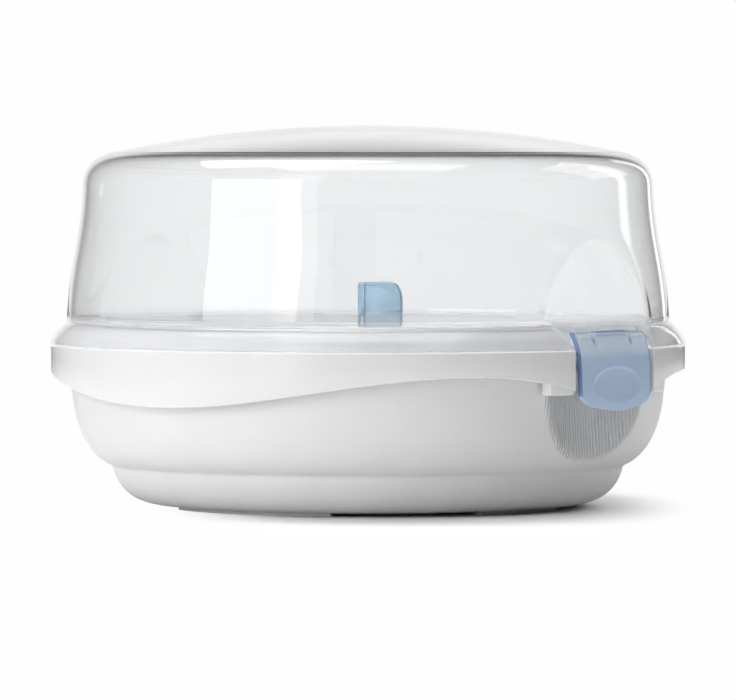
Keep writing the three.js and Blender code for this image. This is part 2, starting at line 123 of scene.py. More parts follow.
def rounded(corners: Sequence[Point2], radii: Sequence[float], count: int = 5) -> list[Point2]:
    """A closed outline with its corners rounded.

    Args:
        corners: The sharp corners, in order.
        radii: How far each corner's curve reaches along its two sides. 0 keeps it sharp.
        count: Steps in each rounded corner.

    Returns:
        The outline's points.
    """
    outline: list[Point2] = []
    for i, (corner, radius) in enumerate(zip(corners, radii)):
        if radius <= 0:
            outline.append(corner)
            continue
        here = Vector(corner)
        before = (Vector(corners[i - 1]) - here).normalized() * radius
        after = (Vector(corners[(i + 1) % len(corners)]) - here).normalized() * radius
        for t in steps(0.0, 1.0, count):
            point = here + before * (1 - t) ** 2 + after * t**2
            outline.append((point.x, point.y))
    return outline


def offset(points: Sequence[Point2], distance: float) -> list[Point2]:
    """An open line moved sideways, towards its right-hand side.

    Args:
        points: The line's points.
        distance: How far to move it. A negative distance moves it to the left.

    Returns:
        As many points as there were.
    """
    moved = []
    for i, (x, y) in enumerate(points):
        before = points[max(i - 1, 0)]
        after = points[min(i + 1, len(points) - 1)]
        dx, dy = after[0] - before[0], after[1] - before[1]
        length = math.hypot(dx, dy)
        moved.append((x + dy / length * distance, y - dx / length * distance))
    return moved


def ease(low: float, high: float, value: float) -> float:
    """A smooth step: 0 at low, 1 at high, and level at both ends. low may be above high."""
    t = min(max((value - low) / (high - low), 0.0), 1.0)
    return t * t * (3 - 2 * t)


def soft_min(a: float, b: float, blend: float) -> float:
    """The smaller of a and b, with a rounded change over where they are within blend of each other."""
    near = max(blend - abs(a - b), 0.0) / blend
    return min(a, b) - near * near * blend / 4


# ---- mesh making --------------------------------------------------------------------------------------
def made(name: str, vertices: Iterable[Sequence[float]], faces: Iterable[Sequence[int]]) -> bpy.types.Object:
    """A mesh object from points in millimetres.

    Args:
        name: The object's name.
        vertices: The points.
        faces: The faces, as point numbers.

    Returns:
        The object, linked to the scene, with its faces turned outwards.
    """
    mesh = bpy.data.meshes.new(name)
    mesh.from_pydata([[c * MM for c in v] for v in vertices], [], [list(f) for f in faces])
    shape = bmesh.new()
    shape.from_mesh(mesh)
    bmesh.ops.recalc_face_normals(shape, faces=shape.faces)
    shape.to_mesh(mesh)
    shape.free()
    piece = bpy.data.objects.new(name, mesh)
    bpy.context.scene.collection.objects.link(piece)
    return piece


def settled(piece: bpy.types.Object) -> bpy.types.Object:
    """Applies a piece's modifiers to its mesh and returns the piece."""
    graph = bpy.context.evaluated_depsgraph_get()
    mesh = bpy.data.meshes.new_from_object(piece.evaluated_get(graph))
    piece.modifiers.clear()
    piece.data = mesh
    return piece


def combined(piece: bpy.types.Object, others: Sequence[bpy.types.Object], operation: str) -> bpy.types.Object:
    """Joins solids to a piece, or cuts them out of it, and removes them.

    Args:
        piece: The solid that stays.
        others: The solids that are used up.
        operation: UNION or DIFFERENCE.

    Returns:
        The piece.
    """
    for other in others:
        modifier = piece.modifiers.new("cut", "BOOLEAN")
        modifier.operation = operation
        modifier.solver = "MANIFOLD"
        modifier.object = other
        settled(piece)
        bpy.data.objects.remove(other)
    return piece


def gathered(name: str, parts: Sequence[bpy.types.Object]) -> bpy.types.Object:
    """One object that holds the meshes of several.

    Args:
        name: The new object's name.
        parts: The objects, which are removed.

    Returns:
        The new object.
    """
    shape = bmesh.new()
    for part in parts:
        part.data.transform(part.matrix_world)
        shape.from_mesh(part.data)
        bpy.data.objects.remove(part)
    mesh = bpy.data.meshes.new(name)
    shape.to_mesh(mesh)
    shape.free()
    piece = bpy.data.objects.new(name, mesh)
    bpy.context.scene.collection.objects.link(piece)
    return piece


def bevelled(piece: bpy.types.Object, width: float, angle: float = 40.0) -> bpy.types.Object:
    """Rounds a piece's sharp edges.

    Args:
        piece: The piece.
        width: The bevel's width in millimetres.
        angle: Edges that turn by more degrees than this are rounded.

    Returns:
        The piece.
    """
    modifier = piece.modifiers.new("rounded edges", "BEVEL")
    modifier.width = width * MM
    modifier.segments = 3
    modifier.limit_method = "ANGLE"
    modifier.angle_limit = math.radians(angle)
    modifier.use_clamp_overlap = True
    return settled(piece)


def turned(piece: bpy.types.Object, degrees: float) -> bpy.types.Object:
    """Turns a piece's mesh about the upright axis and returns the piece."""
    piece.data.transform(Matrix.Rotation(math.radians(degrees), 4, "Z"))
    return piece


def prism(name: str, outline: Sequence[Point2], low: float, high: float, axis: str = "Z") -> bpy.types.Object:
    """A flat outline pulled along one axis.

    Args:
        name: The object's name.
        outline: Points in X and Y for axis Z, in Y and Z for axis X, and in X and Z for axis Y.
        low: Where the solid starts along the axis.
        high: Where it ends.
        axis: X, Y or Z.

    Returns:
        The solid.
    """
    place = {
        "X": lambda a, b, c: (c, a, b),
        "Y": lambda a, b, c: (a, c, b),
        "Z": lambda a, b, c: (a, b, c),
    }[axis]
    count = len(outline)
    vertices = [place(a, b, level) for level in (low, high) for a, b in outline]
    faces = [[i, (i + 1) % count, (i + 1) % count + count, i + count] for i in range(count)]
    return made(name, vertices, [*faces, list(range(count)), list(range(count, 2 * count))])


def circle(centre: Point2, radius: float, count: int = 32) -> list[Point2]:
    """Points round a circle."""
    turns = [2 * math.pi * i / count for i in range(count)]
    return [(centre[0] + radius * math.cos(a), centre[1] + radius * math.sin(a)) for a in turns]


@dataclass(frozen=True)
class Spot:
    """One point of a turned outline.

    tuck is the height that the point is folded to inside a notch, and None where it stays.
    """

    r: float
    z: float
    skin: Skin = Skin.OUTER
    tuck: float | None = None


@dataclass
class TurnedShell:
    """A closed outline carried round the upright axis and reshaped at each angle."""

    outline: Sequence[Spot]
    reshape: Callable[[Spot, float], Spot] = lambda spot, angle: spot
    turn_step: float = 1.0
    fine_places: Sequence[tuple[float, float, float]] = ()

    def angles(self) -> list[float]:
        """The columns' angles in radians, closer together in the fine places.

        Returns:
            Rising angles over one full turn. Each fine place is (from, to, step) in degrees.
        """
        rough = steps(0.0, 360.0, round(360 / self.turn_step))[:-1]
        inside = [a for a in rough if not any(lo <= a <= hi for lo, hi, _ in self.spans())]
        fine = [a for lo, hi, step in self.spans() for a in steps(lo, hi, round((hi - lo) / step))]
        return [math.radians(a) for a in sorted({round(a % 360.0, 4) for a in [*inside, *fine]})]

    def spans(self) -> list[tuple[float, float, float]]:
        """The fine places, with those that pass through 0 degrees split in two."""
        whole = []
        for low, high, step in self.fine_places:
            if low < 0:
                whole += [(low + 360.0, 360.0, step), (0.0, high, step)]
            else:
                whole.append((low, high, step))
        return whole

    def build(self, name: str) -> bpy.types.Object:
        """The shell's mesh.

        Args:
            name: The object's name.

        Returns:
            The shell. An outline that starts and ends on the axis closes there, and any other closes
            on itself.
        """
        poles = self.outline[0].r == 0
        ring = self.outline[1:-1] if poles else self.outline
        angles = self.angles()
        vertices = []
        for angle in angles:
            for spot in (self.reshape(s, angle) for s in ring):
                vertices.append((spot.r * math.cos(angle), spot.r * math.sin(angle), spot.z))
        rows, columns = len(ring), len(angles)
        faces = []
        for i in range(columns):
            here, there = i * rows, (i + 1) % columns * rows
            for j in range(rows - 1 if poles else rows):
                k = (j + 1) % rows
                faces.append([here + j, there + j, there + k, here + k])
        if poles:
            top, bottom = len(vertices), len(vertices) + 1
            vertices += [(0, 0, self.outline[0].z), (0, 0, self.outline[-1].z)]
            for i in range(columns):
                here, there = i * rows, (i + 1) % columns * rows
                faces.append([top, there, here])
                faces.append([bottom, here + rows - 1, there + rows - 1])
        return made(name, vertices, faces)


def part_turn(
    name: str, start: float, end: float, count: int, section: Callable[[float], Sequence[Point2]]
) -> bpy.types.Object:
    """A closed section carried through part of a turn about the upright axis.

    Args:
        name: The object's name.
        start: The first angle in degrees.
        end: The last angle in degrees.
        count: How many steps the turn is cut into.
        section: Gives the (radius, height) points at an angle, always as many.

    Returns:
        The solid, closed at both ends.
    """
    vertices, faces = [], []
    angles = steps(start, end, count)
    for degrees in angles:
        a = math.radians(degrees)
        vertices += [(r * math.cos(a), r * math.sin(a), z) for r, z in section(degrees)]
    rows = len(vertices) // len(angles)
    for i in range(count):
        for j in range(rows):
            k = (j + 1) % rows
            faces.append([i * rows + j, i * rows + k, (i + 1) * rows + k, (i + 1) * rows + j])
    faces.append(list(range(rows)))
    faces.append(list(range(count * rows, (count + 1) * rows)))
    return made(name, vertices, faces)


def grid_plate(
    name: str, rows: Sequence[Sequence[Sequence[float]]], backs: Sequence[Sequence[Sequence[float]]]
) -> bpy.types.Object:
    """A plate between two grids of points that match one to one.

    Args:
        name: The object's name.
        rows: The front grid.
        backs: The back grid.

    Returns:
        The closed plate.
    """
    high, wide = len(rows), len(rows[0])
    vertices = [p for grid in (rows, backs) for row in grid for p in row]
    back = high * wide
    faces = []
    for i in range(high - 1):
        for j in range(wide - 1):
            a = i * wide + j
            quad = [a, a + 1, a + wide + 1, a + wide]
            faces += [quad, [back + v for v in reversed(quad)]]
    edge = [*range(wide), *range(2 * wide - 1, high * wide, wide)]
    edge += [*range(high * wide - 2, (high - 1) * wide - 1, -1), *range((high - 2) * wide, 0, -wide)]
    for a, b in zip(edge, [*edge[1:], edge[0]]):
        faces.append([a, back + a, back + b, b])
    return made(name, vertices, faces)


# ---- finishes -----------------------------------------------------------------------------------------
class NodeBench:
    """Puts shader nodes into one material or world."""

    def __init__(self, tree: bpy.types.NodeTree) -> None:
        """Clears the tree and keeps it."""
        tree.nodes.clear()
        self.tree = tree

    def node(self, kind: str, **settings: object) -> bpy.types.Node:
        """A new node.

        Args:
            kind: The node's type.
            settings: Its properties.

        Returns:
            The node.
        """
        node = self.tree.nodes.new(kind)
        for name, value in settings.items():
            setattr(node, name, value)
        return node

    def link(self, source: bpy.types.NodeSocket, target: bpy.types.NodeSocket) -> None:
        """Joins two sockets."""
        self.tree.links.new(source, target)

    def place(self) -> bpy.types.NodeSocket:
        """The point in the object's own space, in metres."""
        return self.node("ShaderNodeTexCoord").outputs["Object"]

    def noise(
        self, size: float, detail: float = 2.0, stretch: Colour = (1.0, 1.0, 1.0)
    ) -> bpy.types.NodeSocket:
        """Smooth noise over the piece.

        Args:
            size: The size of one blotch in millimetres.
            detail: How many finer layers it has.
            stretch: How many times closer together the blotches lie along X, Y and Z.

        Returns:
            The noise, from 0 to 1.
        """
        mapping = self.node("ShaderNodeMapping")
        mapping.inputs["Scale"].default_value = stretch
        self.link(self.place(), mapping.inputs["Vector"])
        noise = self.node("ShaderNodeTexNoise")
        noise.inputs["Scale"].default_value = 1 / (size * MM)
        noise.inputs["Detail"].default_value = detail
        self.link(mapping.outputs["Vector"], noise.inputs["Vector"])
        return noise.outputs["Fac"]

    def ranged(self, source: bpy.types.NodeSocket, span: Point2, result: Point2) -> bpy.types.NodeSocket:
        """A number moved smoothly from one range to another.

        Args:
            source: The number.
            span: The range that it is read over.
            result: What the two ends of that range become.

        Returns:
            The new number.
        """
        node = self.node("ShaderNodeMapRange", interpolation_type="SMOOTHSTEP")
        self.link(source, node.inputs["Value"])
        node.inputs["From Min"].default_value, node.inputs["From Max"].default_value = span
        node.inputs["To Min"].default_value, node.inputs["To Max"].default_value = result
        return node.outputs["Result"]

    def blend(self, share: bpy.types.NodeSocket, first: Colour, second: Colour) -> bpy.types.NodeSocket:
        """A colour between two colours.

        Args:
            share: 0 for the first colour and 1 for the second.
            first: The first colour.
            second: The second colour.

        Returns:
            The colour.
        """
        node = self.node("ShaderNodeMix", data_type="RGBA")
        self.link(share, node.inputs["Factor"])
        node.inputs["A"].default_value = (*first, 1.0)
        node.inputs["B"].default_value = (*second, 1.0)
        return node.outputs["Result"]

    def bump(self, height: bpy.types.NodeSocket, distance: float, strength: float) -> bpy.types.NodeSocket:
        """A fine relief.

        Args:
            height: The relief, from 0 to 1.
            distance: How tall it is in millimetres.
            strength: How much of it shows.

        Returns:
            The changed surface direction.
        """
        node = self.node("ShaderNodeBump")
        node.inputs["Distance"].default_value = distance * MM
        node.inputs["Strength"].default_value = strength
        self.link(height, node.inputs["Height"])
        return node.outputs["Normal"]


def bench_for(name: str) -> tuple[bpy.types.Material, NodeBench]:
    """A new material and its empty node bench."""
    material = bpy.data.materials.new(name)
    material.use_nodes = True
    return material, NodeBench(material.node_tree)


@dataclass(frozen=True)
class WhitePlastic:
    """An opaque white moulded plastic, with a fine grain and the faint clouds of moulding."""

    name: str
    light: Colour
    shade: Colour
    gloss: Point2
    grain: float
    coat: float = 0.0

    def material(self) -> bpy.types.Material:
        """The finish as a material."""
        material, bench = bench_for(self.name)
        shader = bench.node("ShaderNodeBsdfPrincipled")
        clouds = bench.noise(26.0, 3.0)
        bench.link(bench.blend(bench.ranged(clouds, (0.3, 0.7), (0, 1)), self.light, self.shade),
                   shader.inputs["Base Color"])
        smears = bench.noise(9.0, 4.0, (1.0, 1.0, 0.35))
        bench.link(bench.ranged(smears, (0.3, 0.7), self.gloss), shader.inputs["Roughness"])
        grain = bench.noise(0.55, 3.0)
        bench.link(bench.bump(grain, 0.05, self.grain), shader.inputs["Normal"])
        shader.inputs["IOR"].default_value = 1.49
        shader.inputs["Coat Weight"].default_value = self.coat
        shader.inputs["Coat Roughness"].default_value = 0.03
        shader.inputs["Subsurface Weight"].default_value = 0.12
        shader.inputs["Subsurface Radius"].default_value = (1.0, 1.0, 1.0)
        shader.inputs["Subsurface Scale"].default_value = 1.2 * MM
        bench.link(shader.outputs["BSDF"], bench.node("ShaderNodeOutputMaterial").inputs["Surface"])
        return material


@dataclass(frozen=True)
class ClearPlastic:
    """A see-through moulded plastic that lets lamps through and turns milky towards its thick foot."""

    name: str
    tint: Colour
    haze: Colour
    haze_span: Point2
    haze_share: float
    lamp_share: float

    def material(self) -> bpy.types.Material:
        """The finish as a material."""
        material, bench = bench_for(self.name)
        shader = bench.node("ShaderNodeBsdfPrincipled")
        split = bench.node("ShaderNodeSeparateXYZ")
        bench.link(bench.place(), split.inputs["Vector"])
        low, high = (h * MM for h in self.haze_span)
        foot = bench.ranged(split.outputs["Z"], (low, high), (1.0, 0.0))
        bench.link(bench.blend(foot, self.tint, self.haze), shader.inputs["Base Color"])
        clear = bench.node("ShaderNodeMapRange")
        bench.link(foot, clear.inputs["Value"])
        clear.inputs["To Min"].default_value = 1.0
        clear.inputs["To Max"].default_value = 1.0 - self.haze_share
        bench.link(clear.outputs["Result"], shader.inputs["Transmission Weight"])
        streaks = bench.noise(30.0, 2.0, (1.0, 1.0, 0.3))
        bench.link(bench.ranged(streaks, (0.35, 0.7), (0.0, 0.035)), shader.inputs["Roughness"])
        waves = bench.noise(38.0, 1.0, (1.0, 1.0, 0.4))
        bench.link(bench.bump(waves, 0.25, 0.05), shader.inputs["Normal"])
        shader.inputs["IOR"].default_value = 1.49
        lamps = bench.node("ShaderNodeBsdfTransparent")
        lamps.inputs["Color"].default_value = (*[self.lamp_share] * 3, 1.0)
        either = bench.node("ShaderNodeMixShader")
        bench.link(bench.node("ShaderNodeLightPath").outputs["Is Shadow Ray"], either.inputs["Fac"])
        bench.link(shader.outputs["BSDF"], either.inputs[1])
        bench.link(lamps.outputs["BSDF"], either.inputs[2])
        bench.link(either.outputs["Shader"], bench.node("ShaderNodeOutputMaterial").inputs["Surface"])
        return material


@dataclass(frozen=True)
class TintedPlastic:
    """A coloured plastic whose colour changes at a height, with painted shade along its side and top edges.

    turn_z is the span of heights over which low becomes high. The painted edge shade darkens the colour
    towards edge past a set distance out along Y and above a set height.
    """

    name: str
    low: Colour
    high: Colour
    turn_z: Point2
    clear_share: float
    gloss: Point2
    # edge is the dark colour of the painted shade along the side and top edges, and also the colour that
    # faint random clouds lean towards. The pair after it is how far out along Y and how high that painted
    # shade starts.
    edge: Colour = (0.2, 0.3, 0.55)
    edge_shade_at: Point2 = (500.0, 500.0)

    def material(self) -> bpy.types.Material:
        """The finish as a material."""
        material, bench = bench_for(self.name)
        shader = bench.node("ShaderNodeBsdfPrincipled")
        split = bench.node("ShaderNodeSeparateXYZ")
        bench.link(bench.place(), split.inputs["Vector"])
        low, high = (h * MM for h in self.turn_z)
        # Colour by height. On the clip, the lighter upper colour is painted light where its top slopes
        # upwards.
        body = bench.blend(bench.ranged(split.outputs["Z"], (low, high), (0, 1)), self.low, self.high)
        # Painted shade: the colour darkens towards edge along the side edges, by distance out along Y, and
        # along the top edge, by height.
        away = bench.node("ShaderNodeMath", operation="ABSOLUTE")
        bench.link(split.outputs["Y"], away.inputs[0])
        out, up = (d * MM for d in self.edge_shade_at)
        rim = bench.node("ShaderNodeMath", operation="MAXIMUM")
        bench.link(bench.ranged(away.outputs[0], (out, out + 0.5 * MM), (0, 0.85)), rim.inputs[0])
        bench.link(bench.ranged(split.outputs["Z"], (up, up + 0.4 * MM), (0, 0.7)), rim.inputs[1])
        cloud = bench.ranged(bench.noise(14.0, 2.0), (0.25, 0.75), (0.0, 0.06))
        mottled = bench.node("ShaderNodeMix", data_type="RGBA")
        bench.link(cloud, mottled.inputs["Factor"])
        bench.link(body, mottled.inputs["A"])
        mottled.inputs["B"].default_value = (*self.edge, 1.0)
        edge_shaded = bench.node("ShaderNodeMix", data_type="RGBA")
        bench.link(rim.outputs[0], edge_shaded.inputs["Factor"])
        bench.link(mottled.outputs["Result"], edge_shaded.inputs["A"])
        edge_shaded.inputs["B"].default_value = (*self.edge, 1.0)
        bench.link(edge_shaded.outputs["Result"], shader.inputs["Base Color"])
        bench.link(bench.ranged(bench.noise(6.0, 3.0), (0.3, 0.7), self.gloss), shader.inputs["Roughness"])
        shader.inputs["IOR"].default_value = 1.49
        shader.inputs["Transmission Weight"].default_value = self.clear_share
        bench.link(shader.outputs["BSDF"], bench.node("ShaderNodeOutputMaterial").inputs["Surface"])
        return material


SATIN_BOWL = WhitePlastic("satin white bowl", (0.86, 0.865, 0.87), (0.84, 0.845, 0.852), (0.34, 0.44), 0.25)
POLISHED_GRIP = WhitePlastic(
    "polished white grip", (0.88, 0.885, 0.89), (0.865, 0.87, 0.878), (0.1, 0.16), 0.05, 0.3
)
SATIN_TRAY = WhitePlastic("satin white tray", (0.84, 0.85, 0.86), (0.82, 0.83, 0.842), (0.36, 0.48), 0.3)
MILKY_TONGS = WhitePlastic("milky white tongs", (0.83, 0.85, 0.87), (0.8, 0.82, 0.845), (0.28, 0.4), 0.2)
CLEAR_LID = ClearPlastic("clear lid", (0.95, 0.955, 0.96), (0.82, 0.825, 0.835), (80.0, 86.0), 0.4, 0.95)
# The clip's lighter upper colour is painted light on its upward-sloping top.
BLUE_CLIP = TintedPlastic(
    "translucent blue clip", (0.55, 0.7, 0.92), (0.7, 0.82, 0.96), (67.5, 71.5), 0.0, (0.14, 0.2),
    # the clip's edge colour is painted shade along its side and top edges
    edge=(0.13, 0.2, 0.42), edge_shade_at=(23.8, 78.9),
)
BLUE_HANDLE = TintedPlastic(
    "clear blue handle", (0.84, 0.92, 0.99), (0.6, 0.81, 0.97), (85.2, 86.2), 0.85, (0.04, 0.09)
)

Finish = WhitePlastic | ClearPlastic | TintedPlastic


@dataclass
class Dresser:
    """Gives pieces their finish and hangs them on the frame, and keeps each material once."""

    materials: dict[str, bpy.types.Material] = field(default_factory=dict)

    def dress(
        self, piece: bpy.types.Object, finish: Finish, smooth_angle: float = 35.0
    ) -> bpy.types.Object:
        """Gives a piece its finish and smooth shading.

        Args:
            piece: The piece.
            finish: Its finish.
            smooth_angle: Edges that turn by more degrees than this stay sharp.

        Returns:
            The piece.
        """
        if finish.name not in self.materials:
            self.materials[finish.name] = finish.material()
        piece.data.materials.clear()
        piece.data.materials.append(self.materials[finish.name])
        piece.data.shade_smooth()
        piece.data.set_sharp_from_angle(angle=math.radians(smooth_angle))
        return piece

    def hang(self, piece: bpy.types.Object, body: str, *nodes: str) -> None:
        """Makes a piece ride on a body.

        Args:
            piece: The piece.
            body: The body's name.
            nodes: The frame's nodes that the piece stands for.
        """
        if nodes:
            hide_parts(*nodes)
        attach(piece, body)
        log.info("%s rides on %s with %d faces", piece.name, body, len(piece.data.polygons))


# ---- the bowl -----------------------------------------------------------------------------------------
@dataclass
class Bowl:
    """The two-tiered bowl, with a ribbed finger scoop under each clip and raised foot arcs."""

    wall: float = 2.2
    floor_r: float = 90.0
    floor_z: float = 1.5
    crease: Point2 = (112.8, 18.3)
    shoulder: Point2 = (130.4, 49.0)
    rim: Point2 = (132.4, 71.0)
    ledge_r: float = 136.0
    ledge: Point2 = (66.8, 69.0)
    scoop_x: float = 118.5
    scoop_r: float = 85.0
    scoop_draft: float = 0.07
    scoop_half: float = 37.0
    scoop_top: float = 62.0
    rib_pitch: float = 2.0
    rib_proud: float = 2.0
    rib_sunk: float = 0.25  # share of a rib's depth that lies behind the scoop's surface
    rib_side: Point2 = (0.37, 0.15)  # where a rib's side starts and ends, in pitches from its middle
    scoop_reach: float = 17.0  # degrees from the clip's axis within which the scoop lies
    scoop_blend: float = 0.15
    scoop_fade: float = 1.2
    foot: Point2 = (84.0, 89.0)
    foot_height: float = 1.6

    def line(self) -> list[Point2]:
        """The outside of the bowl, from the middle of its floor to its rim."""
        floor = [(r, self.floor_z) for r in steps(0.0, self.floor_r, 4)]
        lower = bezier((self.floor_r, self.floor_z), (105.5, self.floor_z), (110.8, 10.0), self.crease, 16)
        start = (self.crease[0] + 0.5, self.crease[1] + 0.35)
        upper = bezier(start, (122.5, 22.3), (128.6, 33.0), self.shoulder, 46)
        wall = bezier(self.shoulder, (130.9, 54.0), (132.0, 62.0), (self.rim[0], self.ledge[0] - 0.4), 24)
        return [*floor, *lower[1:], *upper, *wall[1:]]

    def outline(self) -> list[Spot]:
        """The whole wall in section, from the floor's underside round the rim to its inside."""
        outside = self.line()
        inside = offset(outside, -self.wall)
        r, top = self.rim
        low, high = self.ledge
        rim = [
            (r + 0.5, low), (self.ledge_r - 0.5, low), (self.ledge_r, low + 0.5), (self.ledge_r, high - 0.5),
            (self.ledge_r - 0.5, high), (r + 0.3, high), (r, high + 0.3), (r, top - 0.5), (r - 0.5, top),
            (r - self.wall + 0.5, top), (r - self.wall, top - 0.5), (r - self.wall, high),
        ]
        spots = [Spot(*p) for p in [*outside, *rim]]
        spots += [Spot(*p, Skin.INNER) for p in reversed(inside[3:])]
        return [*spots, Spot(0.0, self.floor_z + self.wall, Skin.INNER)]

    def reshape(self, spot: Spot, angle: float) -> Spot:
        """Presses the scoops into the wall.

        Args:
            spot: A point of the outline.
            angle: Where it stands, in radians from the right clip's axis.

        Returns:
            The point, moved inwards where a scoop is.
        """
        if spot.z > self.scoop_top or spot.z < self.floor_z + 4:
            return spot
        aside = (angle + math.pi / 2) % math.pi - math.pi / 2
        if abs(aside) > math.radians(self.scoop_reach):
            return spot
        inner = spot.skin is Skin.INNER
        middle = self.scoop_x + self.scoop_draft * max(self.shoulder[1] - spot.z, 0.0)
        y = middle * math.tan(aside)
        for _ in range(3):
            x = middle + self.scoop_r - math.sqrt(self.scoop_r**2 - y * y)
            y = x * math.tan(aside)
        if inner:
            x -= self.wall
        else:
            along = self.scoop_r * math.asin(y / self.scoop_r) / self.rib_pitch
            x += self.rib_proud * (ease(*self.rib_side, abs(along - round(along))) - self.rib_sunk)
        fade = ease(self.scoop_top, self.scoop_top - self.scoop_fade, spot.z)
        cut = soft_min(spot.r, x / math.cos(aside), self.scoop_blend)
        return replace(spot, r=spot.r + (cut - spot.r) * fade)

    def build(self, dresser: Dresser) -> None:
        """Makes the bowl and hangs it on the base."""
        half = math.degrees(math.atan2(self.scoop_half, self.scoop_x + 8))
        fine = math.degrees(self.rib_pitch / 10 / self.scoop_x)
        scoops = [(-half, half, fine), (180 - half, 180 + half, fine)]
        shell = TurnedShell(self.outline(), self.reshape, 1.5, scoops)
        inner, outer = self.foot
        corners = [(inner, 0.0), (outer, 0.0), (outer, self.foot_height), (inner, self.foot_height)]
        section = rounded(corners, (0.4, 0.4, 0, 0), 3)
        arcs = [(0.0, 17.0), (90.0, 29.0), (180.0, 17.0), (270.0, 29.0)]
        feet = [part_turn("foot", at - half, at + half, 24, lambda _: section) for at, half in arcs]
        bowl = gathered("bowl", [shell.build("bowl shell"), *feet])
        dresser.dress(bowl, SATIN_BOWL, 42.0)
        dresser.hang(bowl, "base", "base_bowl")


# ---- the side grips -----------------------------------------------------------------------------------
@dataclass
class SideGrip:
    """A glossy skirt with a wavy lower edge, which hooks over the bowl's ledge."""

    outer_r: float = 139.9
    wall: float = 2.2
    top: float = 71.7
    top_inner_r: float = 133.0
    half_turn: float = 78.7
    crest: float = 60.7
    lobe: float = 47.3
    wave: float = 58.0
    end_dip: float = 6.7
    cheek_start: float = 73.2
    cheek_r: float = 132.9
    cheek_bottom: float = 52.8

    def edge(self, degrees: float) -> float:
        """The height of the lower edge.

        Args:
            degrees: The angle from the middle of the grip.

        Returns:
            The height in millimetres.
        """
        away = abs(degrees)
        lobe = math.cos(math.pi / 2 * away / self.wave) ** 2 if away < self.wave else 0.0
        start = self.wave + 2
        end = max(0.0, (away - start) / (self.half_turn - start))
        return self.crest - (self.crest - self.lobe) * lobe - self.end_dip * end**2

    def section(self, degrees: float) -> list[Point2]:
        """The grip's section at an angle from its middle."""
        edge = self.edge(degrees)
        outer, inner = self.outer_r, self.outer_r - self.wall
        corners = [
            (outer, edge), (outer, self.top), (self.top_inner_r, self.top),
            (self.top_inner_r, self.top - self.wall), (inner, self.top - self.wall), (inner, edge + 0.2),
        ]
        return rounded(corners, (1.1, 0.7, 0.5, 0.4, 1.0, 0.9), 4)

    def cheek(self, _: float) -> list[Point2]:
        """The section of the block at a grip's end, which leaves room for the bowl's ledge."""
        outer = self.outer_r - 0.5
        top = self.top - self.wall + 0.6
        corners = [
            (self.cheek_r, self.cheek_bottom), (outer, self.cheek_bottom), (outer, top),
            (136.8, top), (136.8, 66.0), (self.cheek_r, 66.0),
        ]
        return rounded(corners, (0.6, 0.6, 0, 0, 0, 0), 3)

    def build(self, dresser: Dresser, facing: Facing, name: str, node: str) -> None:
        """Makes one grip and hangs it on the base.

        Args:
            dresser: Gives it its finish.
            facing: Which way it faces.
            name: The piece's name.
            node: The frame's node that it stands for.
        """
        skirt = part_turn(name, -self.half_turn, self.half_turn, 260, self.section)
        end = self.half_turn - 0.35
        cheeks = [
            part_turn("cheek", min(a, b), max(a, b), 6, self.cheek)
            for a, b in ((self.cheek_start, end), (-self.cheek_start, -end))
        ]
        bevelled(skirt, 0.95, 60.0)
        grip = turned(gathered(name, [skirt, *(bevelled(c, 0.35, 60.0) for c in cheeks)]), facing.value)
        dresser.dress(grip, POLISHED_GRIP, 40.0)
        dresser.hang(grip, "base", node)


